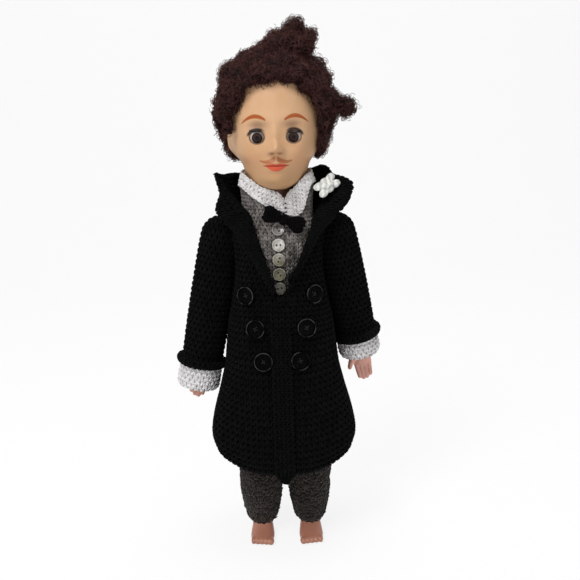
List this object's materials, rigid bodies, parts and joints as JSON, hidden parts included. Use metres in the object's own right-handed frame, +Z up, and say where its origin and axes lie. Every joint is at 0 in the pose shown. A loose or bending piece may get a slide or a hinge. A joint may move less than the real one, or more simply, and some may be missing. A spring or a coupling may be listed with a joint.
{
  "type": "dressed jointed doll",
  "caption": "Standing jointed plastic doll with sleep eyes and rooted hair, in a crocheted black coat, grey waistcoat, white collar and cuffs, bow tie and dark trousers.",
  "frame": {"origin": "on the floor under the middle of the doll, level with the soles", "axes": "+Z up, the doll faces -Y, its left hand is on +X"},
  "size_m": [0.1614, 0.0992, 0.4085],
  "materials": {
    "vinyl_skin": "satin",
    "limb_plastic": "satin",
    "hair_fibre": "matte",
    "eye_plastic": "gloss",
    "case_plastic": "satin",
    "axle_steel": "satin",
    "weight_metal": "matte",
    "lash_fibre": "matte",
    "white_yarn": "matte",
    "grey_yarn": "matte",
    "black_yarn": "matte",
    "bow_yarn": "matte",
    "trouser_yarn": "matte",
    "black_button": "gloss",
    "pearl_button": "gloss",
    "white_petal": "gloss"
  },
  "bodies": {
    "torso": {"torso_shell": "limb_plastic", "trouser_seat": "trouser_yarn", "waistcoat": "grey_yarn", "shirt_collar": "white_yarn", "coat_body": "black_yarn", "coat_collar": "black_yarn", "coat_front_band": "black_yarn", "coat_skirt_left": "black_yarn", "coat_skirt_right": "black_yarn", "bow_loop_left": "bow_yarn", "bow_loop_right": "bow_yarn", "bow_knot": "bow_yarn", "flower_petals": "white_petal", "flower_bead": "white_petal", "coat_button_left_1": "black_button", "coat_button_left_2": "black_button", "coat_button_left_3": "black_button", "coat_button_right_1": "black_button", "coat_button_right_2": "black_button", "coat_button_right_3": "black_button", "waistcoat_button_1": "pearl_button", "waistcoat_button_2": "pearl_button", "waistcoat_button_3": "pearl_button", "waistcoat_button_4": "pearl_button", "waistcoat_button_5": "pearl_button"},
    "head": {"head_shell": "vinyl_skin", "hair_cap": "hair_fibre", "hair_topknot": "hair_fibre", "hair_side_curl": "hair_fibre", "eye_case_left": "case_plastic", "eye_case_right": "case_plastic"},
    "eye_left": {"eyeball_left": "eye_plastic", "eye_axle_left": "axle_steel", "eye_weight_left": "weight_metal", "eye_lashes_left": "lash_fibre"},
    "arm_left": {"arm_left": "limb_plastic", "coat_sleeve_left": "black_yarn", "shirt_cuff_left": "white_yarn"},
    "leg_left": {"leg_left": "limb_plastic", "trouser_leg_left": "trouser_yarn"},
    "eye_right": {"eyeball_right": "eye_plastic", "eye_axle_right": "axle_steel", "eye_weight_right": "weight_metal", "eye_lashes_right": "lash_fibre"},
    "arm_right": {"arm_right": "limb_plastic", "coat_sleeve_right": "black_yarn", "shirt_cuff_right": "white_yarn"},
    "leg_right": {"leg_right": "limb_plastic", "trouser_leg_right": "trouser_yarn"}
  },
  "joints": [
    {"name": "neck_swivel", "type": "hinge", "parent": "torso", "child": "head", "pos_m": [0, 0.002, 0.2855], "axis": [0, 0, 1], "range_deg": [-30, 30]},
    {"name": "shoulder_left", "type": "hinge", "parent": "torso", "child": "arm_left", "pos_m": [0.043, 0, 0.245], "axis": [-1, 0, 0], "range_deg": [-30, 95]},
    {"name": "shoulder_right", "type": "hinge", "parent": "torso", "child": "arm_right", "pos_m": [-0.043, 0, 0.245], "axis": [-1, 0, 0], "range_deg": [-40, 90]},
    {"name": "hip_left", "type": "hinge", "parent": "torso", "child": "leg_left", "pos_m": [0.0195, 0, 0.15], "axis": [-1, 0, 0], "range_deg": [-14, 14]},
    {"name": "hip_right", "type": "hinge", "parent": "torso", "child": "leg_right", "pos_m": [-0.0195, 0, 0.15], "axis": [-1, 0, 0], "range_deg": [-14, 14]},
    {"name": "eye_left", "type": "hinge", "parent": "head", "child": "eye_left", "pos_m": [0.0128, -0.0226, 0.3185], "axis": [1, 0, 0], "range_deg": [0, 42]},
    {"name": "eye_right", "type": "hinge", "parent": "head", "child": "eye_right", "pos_m": [-0.0128, -0.0226, 0.3185], "axis": [1, 0, 0], "range_deg": [0, 52]}
  ]
}
